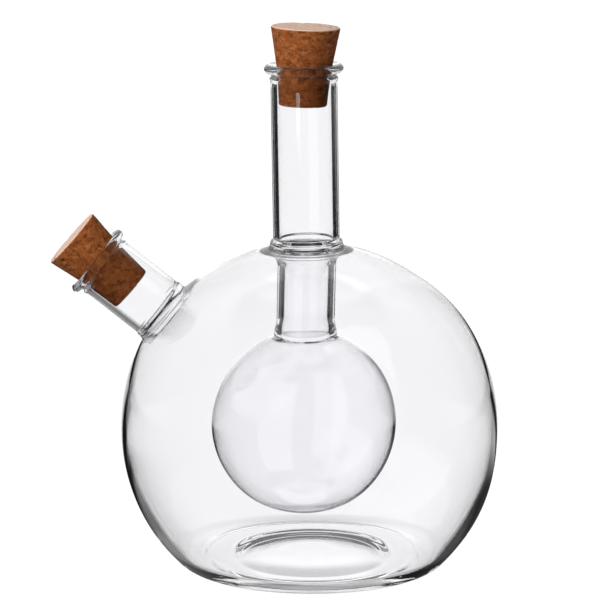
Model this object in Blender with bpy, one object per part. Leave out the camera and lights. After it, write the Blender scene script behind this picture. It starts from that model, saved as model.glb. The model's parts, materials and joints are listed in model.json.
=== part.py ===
"""Oil and vinegar bottle of clear blown glass: a round outer flask with a side spout,
a small flask sealed inside it that fills through the tall neck, and two tapered corks.

Lengths are in metres and angles in degrees. The bottle stands on the plane z = 0, and the
middle of its footprint, spout cork included, is over the origin. The spout points along -X.
"""

import math

import bmesh
import bpy

# Outer flask, a blown globe: sunk a little round the neck, fuller than a ball below, more so
# on the far side from the spout, and swayed that way too at its pushed-up base
GLOBE_RADIUS = 0.0600
GLOBE_WALL = 0.0015
CROWN_DROP = 0.00125
CROWN_DROP_FROM = 0.55
CROWN_DROP_TO = 0.92
BELLY = 0.0006
BELLY_FROM = -5.0
BELLY_TO = -35.0
FAR_BELLY = 0.0005
FAR_BELLY_CURVE = 1.3
SWAY = 0.0008
SWAY_CURVE = 1.5
BASE_RADIUS = 0.0366
HEEL_RADIUS = 0.0090
INNER_HEEL_RADIUS = 0.0105
FLOOR_THICKNESS = 0.0028
STANDING_RING_WIDTH = 0.0080
PUNT_SLOPE_WIDTH = 0.0018
PUNT_RISE = 0.0018
INNER_SLOPE_WIDTH = 0.0040
INNER_RISE = 0.0009
PUNT_CROWN = 0.0006

# Inner flask, a thin bulb blown from the end of a thick stem
BULB_RADIUS = 0.0294
BULB_WALL = 0.0010
BULB_RAISE = 0.0007
BULB_OFFSET = 0.0019
LEAN_EASE = 0.14
STEM_RADIUS = 0.0093
STEM_WALL = 0.0024
STEM_FILLET = 0.0040
STEM_BORE_FILLET = 0.0065

# Neck
NECK_RADIUS = 0.0105
NECK_WALL = 0.0020
NECK_LENGTH = 0.0533
NECK_LEAN = 0.9

# Ring seal, where neck, outer flask and inner flask are fused
SEAL_FLARE = 0.0045
SEAL_SHOULDER = 0.0030
SEAL_COLLAR = 0.0014
SEAL_BORE_DROP = 0.0030
SEAL_DROP = 0.0038

# Spout
SPOUT_ELEVATION = 38.4
SPOUT_RADIUS = 0.0102
SPOUT_WALL = 0.0017
SPOUT_LENGTH = 0.0225

# Weld round the root of the spout
WELD_FLARE = 0.0025
WELD_SHOULDER = 0.0040
WELD_COLLAR = 0.0010
WELD_BORE_FILLET = 0.0010

# Rolled lips, the same on both mouths
LIP_BEAD_RADIUS = 0.0014
LIP_BEAD_OFFSET = 0.0006
LIP_WAIST = 0.0003
LIP_WAIST_DROP = 0.0012
MOUTH_DEPTH = 0.0040

# Corks
NECK_CORK_TOP_RADIUS = 0.0109
NECK_CORK_ABOVE = 0.0117
NECK_CORK_INSIDE = 0.0130
NECK_CORK_TILT = 3.0
SPOUT_CORK_TOP_RADIUS = 0.0102
SPOUT_CORK_ABOVE = 0.0097
SPOUT_CORK_INSIDE = 0.0153
SPOUT_CORK_TILT = 3.0
CORK_TAPER = 0.8
CORK_EDGE = 0.0004

# How far a flare keeps to its tube and to the globe, as a share of its width and height
FLARE_REACH = 0.6

# Clearances between pieces
SEAM_GAP = 0.0003
CORK_GAP = 0.0003

# How finely round shapes are divided
TURN_STEPS = 36
SPHERE_STEP = 7.5
FILLET_STEPS = 4
FLARE_STEPS = 6
BEAD_STEPS = 8
SLOPE_STEPS = 4
SHARP_EDGE = 35.0
SAME_POINT = 1e-6


def clear_scene():
    for thing in list(bpy.data.objects):
        bpy.data.objects.remove(thing, do_unlink=True)


def principled(name, colour, roughness, **values):
    """A material with one Principled BSDF."""
    material = bpy.data.materials.new(name)
    material.use_nodes = True
    shader = material.node_tree.nodes["Principled BSDF"]
    shader.inputs["Base Color"].default_value = (*colour, 1.0)
    shader.inputs["Roughness"].default_value = roughness
    shader.inputs["Metallic"].default_value = 0.0
    for socket, value in values.items():
        shader.inputs[socket.replace("_", " ")].default_value = value
    material.diffuse_color = (*colour, 1.0)
    return material


def clear_glass(name):
    return principled(name, (0.97, 0.98, 0.98), 0.01, IOR=1.47, Transmission_Weight=1.0)


def pressed_cork(name):
    return principled(name, (0.42, 0.20, 0.08), 0.85)


def arc(centre, radius, start, end, steps):
    """Points (r, z) on a circle from one angle to another, both ends included."""
    turn = [math.radians(start + (end - start) * i / steps) for i in range(steps + 1)]
    return [(centre[0] + radius * math.cos(a), centre[1] + radius * math.sin(a)) for a in turn]


def meridian(radius, height, start, end):
    """An arc of a sphere centred on the axis, in steps of about SPHERE_STEP degrees."""
    steps = max(1, round(abs(end - start) / SPHERE_STEP))
    return arc((0.0, height), radius, start, end, steps)


def bearing(centre, point):
    """The angle of the line from centre to point, in degrees above the r axis."""
    return math.degrees(math.atan2(point[1] - centre[1], point[0] - centre[0]))


def across_slope(start, end):
    """An S-shaped slope that leaves its start and reaches its end level."""
    shares = [i / SLOPE_STEPS for i in range(SLOPE_STEPS + 1)]
    run, rise = end[0] - start[0], end[1] - start[1]
    return [(start[0] + run * s, start[1] + rise * (1 - math.cos(math.pi * s)) / 2) for s in shares]


def upright_slope(start, end):
    """An S-shaped slope that leaves its start and reaches its end upright."""
    return [(r, z) for z, r in across_slope(start[::-1], end[::-1])]


def hollow_flare(tube, rim, ball):
    """A hollow curve from the side of a tube, where it is upright, out to a rim on a ball,
    where it lies in line with the ball."""
    wide, high = rim[0] - tube[0], rim[1] - tube[1]
    slope = math.asin(rim[0] / ball)
    upper = (tube[0], tube[1] + FLARE_REACH * high)
    along = FLARE_REACH * wide
    outer = (rim[0] - along * math.cos(slope), rim[1] + along * math.sin(slope))
    curve = []
    for i in range(FLARE_STEPS + 1):
        s = i / FLARE_STEPS
        shares = ((1 - s) ** 3, 3 * s * (1 - s) ** 2, 3 * s * s * (1 - s), s**3)
        corners = (tube, upper, outer, rim)
        curve.append(tuple(sum(k * c[n] for k, c in zip(shares, corners)) for n in range(2)))
    return curve


def eased(value, start, end):
    """0 at the start, 1 at the end and smooth between."""
    share = min(1.0, max(0.0, (value - start) / (end - start)))
    return share * share * (3 - 2 * share)


def crown_drop(height):
    """How far the globe is sunk at a height above its centre."""
    return CROWN_DROP * eased(height / GLOBE_RADIUS, CROWN_DROP_FROM, CROWN_DROP_TO)


def fillet_to_sphere(tube_radius, sphere_radius, centre_height, fillet):
    """The rounding between the top of a sphere and a tube that rises from it, as an arc from
    the tube to the sphere, and the bearing at which it meets the sphere."""
    rise = math.sqrt((sphere_radius + fillet) ** 2 - (tube_radius + fillet) ** 2)
    centre = (tube_radius + fillet, centre_height + rise)
    meets = bearing((0.0, centre_height), centre)
    return arc(centre, fillet, 180.0, 180.0 + meets, FILLET_STEPS), meets


def height_on(radius, across):
    """How far above a sphere's centre its surface is, at a distance across from the axis."""
    return math.sqrt(radius**2 - across**2)


def without_repeats(points):
    kept = []
    for point in points:
        if not kept or math.dist(kept[-1], point) > SAME_POINT:
            kept.append(point)
    if math.dist(kept[0], kept[-1]) < SAME_POINT:
        kept.pop()
    return kept


def turned(name, outline, material, parent):
    """A solid of revolution about the local Z axis of its parent. An outline that starts and
    ends on the axis is closed there, and any other is the section of a ring."""
    outline = without_repeats(outline)
    body = bmesh.new()
    points = [body.verts.new((r, 0.0, z)) for r, z in outline]
    on_axis = outline[0][0] < SAME_POINT and outline[-1][0] < SAME_POINT
    ends = points[1:] if on_axis else points[1:] + points[:1]
    lines = [body.edges.new(pair) for pair in zip(points, ends)]
    bmesh.ops.spin(
        body,
        geom=points + lines,
        axis=(0.0, 0.0, 1.0),
        cent=(0.0, 0.0, 0.0),
        angle=math.tau,
        steps=TURN_STEPS,
        use_merge=True,
    )
    bmesh.ops.remove_doubles(body, verts=body.verts, dist=SAME_POINT)
    bmesh.ops.recalc_face_normals(body, faces=body.faces)
    mesh = bpy.data.meshes.new(name)
    body.to_mesh(mesh)
    body.free()
    mesh.shade_smooth()
    mesh.set_sharp_from_angle(angle=math.radians(SHARP_EDGE))
    thing = bpy.data.objects.new(name, mesh)
    bpy.context.scene.collection.objects.link(thing)
    thing.data.materials.append(material)
    thing.parent = parent
    return thing


def axis_frame(name, parent, height, about_y):
    """An empty on its parent's Z axis, whose own Z is a turned piece's axis."""
    empty = bpy.data.objects.new(name, None)
    bpy.context.scene.collection.objects.link(empty)
    empty.empty_display_size = 0.01
    empty.parent = parent
    empty.location = (0.0, 0.0, height)
    empty.rotation_euler = (0.0, math.radians(about_y), 0.0)
    return empty


def globe_height():
    """Height of the globe's centre, for its heel to end at the standing ring's edge."""
    return HEEL_RADIUS + height_on(GLOBE_RADIUS + BELLY - HEEL_RADIUS, BASE_RADIUS)


def neck_seal_levels():
    """Heights of the ring seal above the globe's centre: where its shoulder leaves the neck,
    its top, the outer and inner edge of its rim, and its foot on the stem."""
    shoulder = height_on(GLOBE_RADIUS, NECK_RADIUS) - CROWN_DROP + SEAL_SHOULDER
    outer = height_on(GLOBE_RADIUS, NECK_RADIUS + SEAL_FLARE) - CROWN_DROP
    inner = height_on(GLOBE_RADIUS - GLOBE_WALL, NECK_RADIUS + SEAL_FLARE) - CROWN_DROP
    return shoulder, shoulder + SEAL_COLLAR, outer, inner, inner - SEAL_DROP


def weld_levels():
    """The same heights along the spout for its weld, which has no stem below it."""
    shoulder = height_on(GLOBE_RADIUS, SPOUT_RADIUS) + WELD_SHOULDER
    outer = height_on(GLOBE_RADIUS, SPOUT_RADIUS + WELD_FLARE)
    inner = height_on(GLOBE_RADIUS - GLOBE_WALL, SPOUT_RADIUS + WELD_FLARE)
    return shoulder, shoulder + WELD_COLLAR, outer, inner


def neck_top():
    return neck_seal_levels()[1] + SEAM_GAP + NECK_LENGTH


def spout_top():
    return weld_levels()[1] + SEAM_GAP + SPOUT_LENGTH


def footprint_shift():
    """How far the globe's axis stands from the middle of the footprint, which reaches from
    the spout cork's rim to the globe's far side."""
    spout, cork = math.radians(SPOUT_ELEVATION), math.radians(SPOUT_ELEVATION + SPOUT_CORK_TILT)
    reach = (spout_top() - MOUTH_DEPTH) * math.cos(spout)
    reach += (MOUTH_DEPTH + SPOUT_CORK_ABOVE) * math.cos(cork)
    reach += SPOUT_CORK_TOP_RADIUS * math.sin(cork)
    reach -= CORK_EDGE * min(math.cos(cork), math.sin(cork))
    return (reach - GLOBE_RADIUS) / 2


def crown_surface(radius):
    """One surface of the globe from its blowing hole to its equator."""
    top = math.degrees(math.acos(NECK_RADIUS / 2 / radius))
    ball = meridian(radius, 0.0, top, 0.0)
    return [(r, globe_height() + z - crown_drop(z)) for r, z in ball]


def base_surface(radius, floor, fillet, slope_width, rise):
    """One surface of the globe from its equator to the axis: the side, the rounded heel, the
    level ring and the push-up. The outside and the inside follow it at their own radius."""
    below = globe_height() - floor - fillet
    centre = (height_on(radius + BELLY - fillet, below), floor + fillet)
    tangent = bearing((0.0, globe_height()), centre)
    side = []
    for r, z in meridian(1.0, 0.0, 0.0, tangent):
        reach = radius + BELLY * eased(math.degrees(math.asin(z)), BELLY_FROM, BELLY_TO)
        side.append((reach * r, globe_height() + reach * z))
    heel = arc(centre, fillet, tangent, -90.0, FILLET_STEPS)
    middle = BASE_RADIUS - STANDING_RING_WIDTH - PUNT_SLOPE_WIDTH / 2
    foot, crown = middle + slope_width / 2, middle - slope_width / 2
    slope = across_slope((foot, floor), (crown, floor + rise))
    dome = [(crown / 2, floor + rise + PUNT_CROWN), (0.0, floor + rise + PUNT_CROWN)]
    return side + heel + slope + dome


def sway_globe(globe):
    """Swells the lower part of the globe on its far side and sways its base that way. Both
    follow a power of the depth below its centre, from 0 there to 1 at the base."""
    for point in globe.data.vertices:
        depth = min(1.0, max(0.0, 1 - point.co.z / globe_height()))
        far = max(0.0, point.co.x / GLOBE_RADIUS)
        point.co.x += FAR_BELLY * far * math.sin(math.pi * depth**FAR_BELLY_CURVE) ** 2
        point.co.x += SWAY * depth**SWAY_CURVE


def hole_cutter(name, radius, parent, glass):
    """A plug that stands across the globe's wall, as wide as the hole it makes."""
    low, high = GLOBE_RADIUS * 0.8, GLOBE_RADIUS * 1.1
    cutter = turned(name, [(0.0, low), (radius, low), (radius, high), (0.0, high)], glass, parent)
    cutter.hide_render = True
    cutter.display_type = "WIRE"
    return cutter


def make_globe(parent, neck_axis, spout_axis, glass):
    """Outer flask: one wall all round, a flat standing ring round the push-up, and a hole
    each for the ring seal and the weld. Its blowing hole lies inside the first."""
    inside = GLOBE_RADIUS - GLOBE_WALL
    outline = [
        *reversed(base_surface(GLOBE_RADIUS, 0.0, HEEL_RADIUS, PUNT_SLOPE_WIDTH, PUNT_RISE)),
        *reversed(crown_surface(GLOBE_RADIUS)),
        *crown_surface(inside),
        *base_surface(inside, FLOOR_THICKNESS, INNER_HEEL_RADIUS, INNER_SLOPE_WIDTH, INNER_RISE),
    ]
    globe = turned("outer_globe", outline, glass, parent)
    sway_globe(globe)
    cutters = (
        hole_cutter("neck_hole_cutter", NECK_RADIUS + SEAL_FLARE + SEAM_GAP, neck_axis, glass),
        hole_cutter("spout_hole_cutter", SPOUT_RADIUS + WELD_FLARE + SEAM_GAP, spout_axis, glass),
    )
    for cutter in cutters:
        cut = globe.modifiers.new(cutter.name, "BOOLEAN")
        cut.operation = "DIFFERENCE"
        cut.object = cutter
    return globe


def make_ring_seal(neck_axis, glass):
    """Fused collar between the neck, the outer flask and the stem: a flared shoulder outside,
    a bore that narrows from the neck's to the stem's, and a flare down on to the stem."""
    shoulder, top, outer, inner, foot = neck_seal_levels()
    rim, bore = NECK_RADIUS + SEAL_FLARE, NECK_RADIUS - NECK_WALL
    outside = hollow_flare((NECK_RADIUS, shoulder), (rim, outer), GLOBE_RADIUS)
    under = hollow_flare((STEM_RADIUS, foot), (rim, inner), GLOBE_RADIUS - GLOBE_WALL)
    inside = upright_slope((STEM_RADIUS - STEM_WALL, foot), (bore, shoulder - SEAL_BORE_DROP))
    outline = [(NECK_RADIUS, top), *outside, *reversed(under), *inside, (bore, top)]
    return turned("neck_ring_seal", outline, glass, neck_axis)


def make_inner_flask(neck_axis, glass):
    """Inner flask: a bulb round the globe's middle, blown from the stem that hangs from the
    ring seal, with a rounded edge where the bore opens into it. The stem leans evenly
    towards the spout, and the bulb hangs straight below it."""
    foot = neck_seal_levels()[-1] - SEAM_GAP
    walls = (
        (STEM_RADIUS, BULB_RADIUS, STEM_FILLET),
        (STEM_RADIUS - STEM_WALL, BULB_RADIUS - BULB_WALL, STEM_BORE_FILLET),
    )
    outline = []
    for tube, bulb, fillet in walls:
        rounding, meets = fillet_to_sphere(tube, bulb, BULB_RAISE, fillet)
        surface = [(tube, foot), *rounding, *meridian(bulb, BULB_RAISE, meets, -90.0)]
        outline = [*reversed(surface)] if not outline else outline + surface
    flask = turned("inner_flask", outline, glass, neck_axis)
    for point in flask.data.vertices:
        share = (foot - point.co.z) / (foot - BULB_RAISE)
        share = (share + 1 - math.hypot(share - 1, LEAN_EASE)) / 2
        point.co.x -= BULB_OFFSET * max(0.0, share)
    return flask


def make_weld(spout_axis, glass):
    """Fused collar at the root of the spout, flared outside and rounded at the edge where
    its bore opens into the globe. Its rim follows the sunk crown."""
    shoulder, top, outer, inner = weld_levels()
    rim, bore = SPOUT_RADIUS + WELD_FLARE, SPOUT_RADIUS - SPOUT_WALL
    outside = [(SPOUT_RADIUS, top), *hollow_flare((SPOUT_RADIUS, shoulder), (rim, outer), GLOBE_RADIUS)]
    edge = (bore + WELD_BORE_FILLET, inner + WELD_BORE_FILLET)
    inside = arc(edge, WELD_BORE_FILLET, -90.0, -180.0, FILLET_STEPS) + [(bore, top)]
    weld = turned("spout_weld", outside + [(rim, inner)] + inside, glass, spout_axis)
    for point in weld.data.vertices:
        height = (spout_axis.rotation_euler.to_matrix() @ point.co).z
        follows = 1 - eased(point.co.length, GLOBE_RADIUS, shoulder)
        point.co.z -= follows * crown_drop(height) * height / GLOBE_RADIUS
    return weld


def make_tube(name, radius, wall, foot, top, axis, glass):
    """Neck or spout: a straight tube whose mouth flares into a rolled lip, with a slight
    waist under the bead."""
    bore = radius - wall
    bead = (radius + LIP_BEAD_OFFSET, top - LIP_BEAD_RADIUS)
    flare = upright_slope((bore, top - MOUTH_DEPTH), (bead[0] - LIP_BEAD_RADIUS, bead[1]))
    meets = -math.degrees(math.acos(-LIP_BEAD_OFFSET / LIP_BEAD_RADIUS))
    lip = arc(bead, LIP_BEAD_RADIUS, 180.0, meets, BEAD_STEPS)
    under = lip[-1][1]
    waist = [(radius - LIP_WAIST, under - LIP_WAIST_DROP), (radius, under - 2 * LIP_WAIST_DROP)]
    outline = [(bore, foot), *flare, *lip, *waist, (radius, foot)]
    return turned(name, outline, glass, axis)


def make_cork(name, bore, top_radius, above, inside, tilt, axis, cork):
    """Tapered stopper on its own tilted axis, whose origin is where the bore turns straight.
    Below that it narrows by a little more than it leans, so that it draws out clear."""
    seat = bore - CORK_GAP
    foot = inside - MOUTH_DEPTH
    end = seat - foot * math.tan(math.radians(tilt + CORK_TAPER))
    top = above + MOUTH_DEPTH
    outline = [
        (0.0, top),
        (top_radius - CORK_EDGE, top),
        (top_radius, top - CORK_EDGE),
        (seat, 0.0),
        (end, CORK_EDGE - foot),
        (end - CORK_EDGE, -foot),
        (0.0, -foot),
    ]
    return turned(name, outline, cork, axis)


def main():
    clear_scene()
    stand = axis_frame("stand", None, 0.0, 0.0)
    stand.location.x = footprint_shift()
    neck_axis = axis_frame("neck_axis", stand, globe_height(), -NECK_LEAN)
    spout_axis = axis_frame("spout_axis", stand, globe_height(), SPOUT_ELEVATION - 90.0)

    make_globe(stand, neck_axis, spout_axis, clear_glass("globe_glass"))
    make_inner_flask(neck_axis, clear_glass("inner_flask_glass"))
    make_ring_seal(neck_axis, clear_glass("ring_seal_glass"))
    make_weld(spout_axis, clear_glass("weld_glass"))

    neck_foot = neck_seal_levels()[1] + SEAM_GAP
    glass = clear_glass("neck_glass")
    make_tube("neck_tube", NECK_RADIUS, NECK_WALL, neck_foot, neck_top(), neck_axis, glass)
    spout_foot = weld_levels()[1] + SEAM_GAP
    glass = clear_glass("spout_glass")
    make_tube("spout_tube", SPOUT_RADIUS, SPOUT_WALL, spout_foot, spout_top(), spout_axis, glass)

    neck_mouth = axis_frame("neck_cork_axis", neck_axis, neck_top() - MOUTH_DEPTH, NECK_CORK_TILT)
    make_cork(
        "neck_cork",
        NECK_RADIUS - NECK_WALL,
        NECK_CORK_TOP_RADIUS,
        NECK_CORK_ABOVE,
        NECK_CORK_INSIDE,
        NECK_CORK_TILT,
        neck_mouth,
        pressed_cork("neck_cork_grain"),
    )
    spout_mouth = axis_frame("spout_cork_axis", spout_axis, spout_top() - MOUTH_DEPTH, SPOUT_CORK_TILT)
    make_cork(
        "spout_cork",
        SPOUT_RADIUS - SPOUT_WALL,
        SPOUT_CORK_TOP_RADIUS,
        SPOUT_CORK_ABOVE,
        SPOUT_CORK_INSIDE,
        SPOUT_CORK_TILT,
        spout_mouth,
        pressed_cork("spout_cork_grain"),
    )


main()
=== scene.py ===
"""Looks of the oil and vinegar bottle: fire-polished glass fused into one vessel, and two
pressed corks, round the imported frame. Lengths are in metres and angles in radians."""

import json
import math
import random

import bmesh
import bpy
import numpy as np
from bpy.props import FloatProperty, FloatVectorProperty, IntProperty, PointerProperty
from mathutils import Matrix, Vector, noise


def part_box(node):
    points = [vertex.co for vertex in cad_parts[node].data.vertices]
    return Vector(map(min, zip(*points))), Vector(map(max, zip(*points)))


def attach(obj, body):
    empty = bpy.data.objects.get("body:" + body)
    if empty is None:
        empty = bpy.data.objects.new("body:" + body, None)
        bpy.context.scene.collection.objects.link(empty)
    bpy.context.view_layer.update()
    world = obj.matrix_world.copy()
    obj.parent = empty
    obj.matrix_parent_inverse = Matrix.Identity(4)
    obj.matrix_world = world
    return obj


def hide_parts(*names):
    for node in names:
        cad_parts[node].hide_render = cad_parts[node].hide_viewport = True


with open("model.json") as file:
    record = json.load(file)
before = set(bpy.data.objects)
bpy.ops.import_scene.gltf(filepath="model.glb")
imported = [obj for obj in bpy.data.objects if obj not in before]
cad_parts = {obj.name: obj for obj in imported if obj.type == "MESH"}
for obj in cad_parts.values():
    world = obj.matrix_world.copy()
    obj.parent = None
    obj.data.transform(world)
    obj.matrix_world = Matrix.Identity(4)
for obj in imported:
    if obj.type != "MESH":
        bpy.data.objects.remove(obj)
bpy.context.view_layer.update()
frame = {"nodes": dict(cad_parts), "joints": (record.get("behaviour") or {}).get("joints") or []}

bl_info = {
    "name": "Oil and vinegar bottle",
    "version": (1, 0, 0),
    "blender": (4, 5, 0),
    "location": "View3D > Sidebar > Cruet",
    "description": "Fused glass vessel, pressed corks and a white studio for the cruet",
    "category": "Add Mesh",
}

GLASS_NODES = ("outer_globe", "inner_flask", "neck_ring_seal", "spout_weld", "neck_tube", "spout_tube")
CORK_JOINTS = {"neck_cork": "neck_cork_draw", "spout_cork": "spout_cork_draw"}
# Points nearer than this are one point.
SAME_POINT = 1e-6
# A fused piece carries two rings of the globe's wall beyond its own rim, this far out.
SKIRT = (0.0012, 0.0006)
# Shares of the globe's radius, up from its centre, between which the crown sinks, and between
# which it turns with the neck, and down from it, between which an inside is drawn in.
SUNK = (0.55, 0.92)
TURNED = (0.8, 0.945)
DRAWN_IN = (0.2, 0.55)
# The plain tube of the neck and of the spout ends this far below the rim.
LIP_REACH = 0.008
# Degrees between the rings of the globe's wall, and below its widest ring, where it gets fuller.
RING_STEP = 2.2
BELLY = (5.0, 35.0)
# The radii between which the standing ring's inner edge steps up.
RING_EDGE = (0.0348, 0.0336)
# Degrees between the spout's weld and the edge of the hole that it is fused to.
HOLE_MARGIN = 2.5
# Open edges of all the shells together, two for each of the four joints.
OPEN_EDGES = 8


def node_box(name):
    """A node's lowest and highest corner as vectors."""
    low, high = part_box(name)
    return Vector(low), Vector(high)


def globe_centre():
    """The globe stands on z = 0 and touches its box on the far side from the spout."""
    low, high = node_box("outer_globe")
    return Vector(((low.x + high.x) / 2, 0.0, bpy.context.scene.cruet_glass.globe_height))


def globe_radius():
    low, high = node_box("outer_globe")
    return (high.y - low.y) / 2


def length(name, description, default):
    return FloatProperty(name=name, description=description, default=default, unit="LENGTH", precision=5)


def turn(name, description, degrees):
    return FloatProperty(name=name, description=description, default=math.radians(degrees), subtype="ANGLE")


def colour(name, description, default):
    return FloatVectorProperty(
        name=name, description=description, default=default, size=3, subtype="COLOR", min=0.0, max=1.0
    )


class CruetGlass(bpy.types.PropertyGroup):
    """Sizes of the glass vessel."""

    globe_height: length("Globe height", "Globe's centre above the table", 0.045373)
    globe_wall: length("Globe wall", "Wall of the globe at its widest", 0.0015)
    wall_drop: length("Wall drop", "How far the inside of the globe sits above its centre", 0.0006)
    low_wall: length("Low wall", "Extra wall low on the far side from the spout", 0.0006)
    crown_drop: length("Crown drop", "How far the globe is sunk round the neck", 0.00125)
    belly: length("Belly", "How much fuller than a ball the globe is below", 0.0006)
    lean_belly: length("Far belly", "Extra fullness below on the far side from the spout", 0.0005)
    sway: length("Sway", "How far the base lies off the axis, away from the spout", 0.0008)
    heel: length("Heel", "Rounding between side and standing ring", 0.0090)
    inner_heel: length("Inner heel", "Rounding inside the heel", 0.0112)
    floor: length("Floor", "Glass over the standing ring", 0.0026)
    punt_radius: length("Push-up radius", "Outer edge of the push-up", 0.0254)
    punt_rise: length("Push-up rise", "Rise of the base's middle", 0.0019)
    ring_proud: length("Ring height", "How far the ring stands below the base inside it", 0.0003)
    inner_radius: length("Inner radius", "Outer edge of the rise inside, over the push-up", 0.0352)
    inner_rise: length("Inner rise", "Rise of the floor's inside over the push-up", 0.0005)
    bulb_radius: length("Bulb radius", "Inner flask's bulb", 0.0294)
    bulb_wall: length("Bulb wall", "Wall of the bulb", 0.0006)
    bulb_uneven: length("Uneven bulb", "How far the bulb's inside lies to the left", 0.00015)
    bulb_raise: length("Bulb raise", "Bulb's centre above the globe's", 0.0007)
    bulb_offset: length("Bulb offset", "Bulb's centre to the spout's side of the neck axis", 0.0019)
    stem_radius: length("Stem radius", "Outside of the stem", 0.0093)
    stem_wall: length("Stem wall", "Wall of the stem", 0.0024)
    stem_flare: length("Stem flare", "How much wider the stem gets at its foot", 0.0007)
    stem_fillet: length("Stem fillet", "Rounding of stem into bulb outside", 0.0012)
    stem_bore_fillet: length("Bore fillet", "Rounding of bore into bulb inside", 0.0023)
    neck_radius: length("Neck radius", "Outside of the neck", 0.0105)
    neck_wall: length("Neck wall", "Wall of the neck", 0.0020)
    neck_top: length("Neck top", "Neck's rim above the globe's centre", 0.115824)
    neck_lean: turn("Neck lean", "Lean of the neck towards the spout", 0.9)
    seal_flare: length("Seal flare", "How far the seal spreads on the globe", 0.0045)
    seal_shoulder: length("Seal shoulder", "Height over the globe where the seal's flare starts", 0.0016)
    seal_drop: length("Seal drop", "Height of the flare under the globe's top", 0.0044)
    bore_drop: length("Bore drop", "Where the bore narrows, under the start of the flare", 0.0032)
    seal_bulge: length("Seal bulge", "Swelling of the fused ring", 0.0009)
    spout_radius: length("Spout radius", "Outside of the spout", 0.0102)
    spout_wall: length("Spout wall", "Wall of the spout", 0.0017)
    spout_top: length("Spout top", "Spout's rim from the globe's centre", 0.086927)
    spout_elevation: turn("Spout elevation", "Spout's angle above level", 38.4)
    weld_flare: length("Weld flare", "How far the spout's weld spreads", 0.0016)
    weld_shoulder: length("Weld shoulder", "Height of the weld over the globe", 0.0014)
    weld_swell: length("Weld swelling", "Swelling of the spout's foot", 0.0004)
    weld_bead: length("Weld bead", "Radius of the rounded edge of the hole inside the globe", 0.0017)
    weld_bulge: length("Weld bulge", "How far that edge stands into the globe", 0.0020)
    lip_bead: length("Lip bead", "Radius of the rolled lip's bead", 0.0014)
    lip_offset: length("Lip offset", "Bead's centre outside the tube", 0.0006)
    mouth_depth: length("Mouth depth", "Where the bore starts to flare", 0.0040)
    segments: IntProperty(name="Segments", description="Divisions of the globe", default=168, min=48)
    tube_segments: IntProperty(
        name="Spout segments", description="Divisions of the spout", default=96, min=24
    )
    ior: FloatProperty(name="IOR", description="Index of refraction", default=1.47, min=1.0, max=2.0)
    tint: colour("Tint", "Colour of the glass", (0.989, 0.988, 1.0))


def arc(centre, radius, start, end, step):
    """Points (r, z) on a circle between two angles in degrees, in steps of about step."""
    count = max(1, round(abs(end - start) / step))
    turns = [math.radians(start + (end - start) * i / count) for i in range(count + 1)]
    return [(centre[0] + radius * math.cos(a), centre[1] + radius * math.sin(a)) for a in turns]


def bearing(centre, point):
    return math.degrees(math.atan2(point[1] - centre[1], point[0] - centre[0]))


def across(start, end, count):
    """An S-shaped slope, level at both ends."""
    shares = [i / count for i in range(count + 1)]
    run, rise = end[0] - start[0], end[1] - start[1]
    return [(start[0] + run * s, start[1] + rise * (1 - math.cos(math.pi * s)) / 2) for s in shares]


def upright(start, end, count):
    """An S-shaped slope, upright at both ends."""
    return [(r, z) for z, r in across(start[::-1], end[::-1], count)]


def flared(tube, rim, ball, count):
    """A hollow curve from a tube's side, upright, out to a rim on a ball, in line with it."""
    handle = 0.6
    wide, high = rim[0] - tube[0], rim[1] - tube[1]
    slope = math.asin(rim[0] / ball)
    first, last = Vector(tube), Vector(rim)
    upper = Vector((tube[0], tube[1] + high * handle))
    outer = Vector((rim[0] - wide * handle * math.cos(slope), rim[1] + wide * handle * math.sin(slope)))
    curve = []
    for i in range(count + 1):
        s = i / count
        t = 1 - s
        point = first * t**3 + upper * 3 * s * t**2 + outer * 3 * s * s * t + last * s**3
        curve.append((point.x, point.y))
    return curve


def straight(start, end, count):
    return [
        (start[0] + (end[0] - start[0]) * i / count, start[1] + (end[1] - start[1]) * i / count)
        for i in range(count + 1)
    ]


def height_on(radius, distance):
    return math.sqrt(radius**2 - distance**2)


def eased(value, start, end):
    """0 at the start, 1 at the end and smooth between, for one number or many."""
    share = np.clip((value - start) / (end - start), 0.0, 1.0)
    return share * share * (3.0 - 2.0 * share)


def into_bulb(size, tube, bulb, foot, fillet):
    """From the seal's foot down a tube that widens, round into the bulb and to its bottom."""
    centre, wide = size.bulb_raise, tube + size.stem_flare
    middle = (wide + fillet, centre + height_on(bulb + fillet, wide + fillet))
    meets = bearing((0.0, centre), middle)
    below_seal = 0.003
    stem_end, flare_start, flare_end = (middle[1] + over for over in (0.0058, 0.0050, 0.0002))
    stem = straight((tube, foot - below_seal), (tube, stem_end), 5)
    flare = upright((tube, flare_start), (wide, flare_end), 8)
    rounding = arc(middle, fillet, 180.0, 180.0 + meets, 8.0)
    return [*stem, *flare, *rounding, *arc((0.0, centre), bulb, meets, -90.0, 3.5)[1:]]


# Under the lip's bead: how far the outside stands out from the tube, and how far down that is.
UNDER_LIP = (
    (0.0002, 0.0002),
    (-0.00025, 0.0006),
    (-0.000125, 0.0010),
    (0.0003, 0.0015),
    (0.0003, 0.0019),
    (0.0001, 0.0024),
    (0.0, 0.0030),
)


def lip_outline(size, radius, wall, top):
    """From the bore, up the flared mouth, over the bead, past the knuckle to the outside."""
    step = 14.0
    bead = (radius + size.lip_offset, top - size.lip_bead)
    flare = upright((radius - wall, top - size.mouth_depth), (bead[0] - size.lip_bead, bead[1]), 9)
    meets = step - math.degrees(math.acos(-size.lip_offset / size.lip_bead))
    roll = arc(bead, size.lip_bead, 180.0, meets, step)
    under = roll[-1][1]
    below = [(radius + out, under - down) for out, down in UNDER_LIP]
    return [*flare, *roll[1:], *below]


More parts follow.
